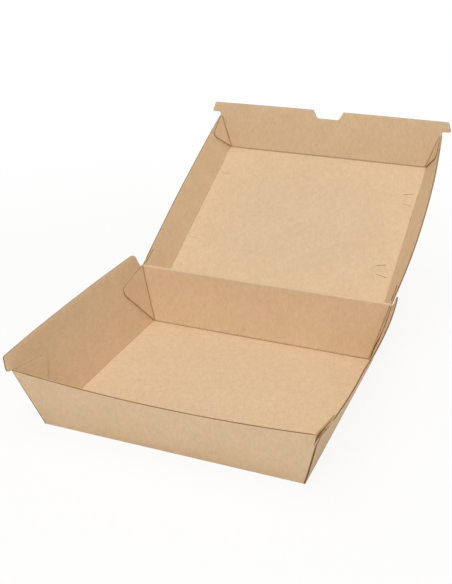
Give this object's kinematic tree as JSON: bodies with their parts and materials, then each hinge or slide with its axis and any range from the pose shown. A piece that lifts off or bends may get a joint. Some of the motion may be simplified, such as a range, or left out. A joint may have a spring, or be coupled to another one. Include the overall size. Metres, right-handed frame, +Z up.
{
  "type": "takeaway box",
  "caption": "Shallow folded card takeaway box with a hinged lid, flared walls, locking ears and a thumb notch in the lid's flange.",
  "frame": {"origin": "middle of the tray's floor panel, on its underside", "axes": "+X along the front, to the right; +Y from the front towards the hinge; +Z up"},
  "size_m": [0.217, 0.3506, 0.1385],
  "materials": {
    "kraft": "plain matte brown kraft liner over a fine flute"
  },
  "bodies": {
    "tray": {"tray": "kraft"},
    "lid": {"lid": "kraft"}
  },
  "joints": [
    {"name": "lid_hinge", "type": "hinge", "parent": "tray", "child": "lid", "pos_m": [0, 0.0862, 0.0447], "axis": [1, 0, 0], "range_deg": [-33.5, 153.1]}
  ]
}
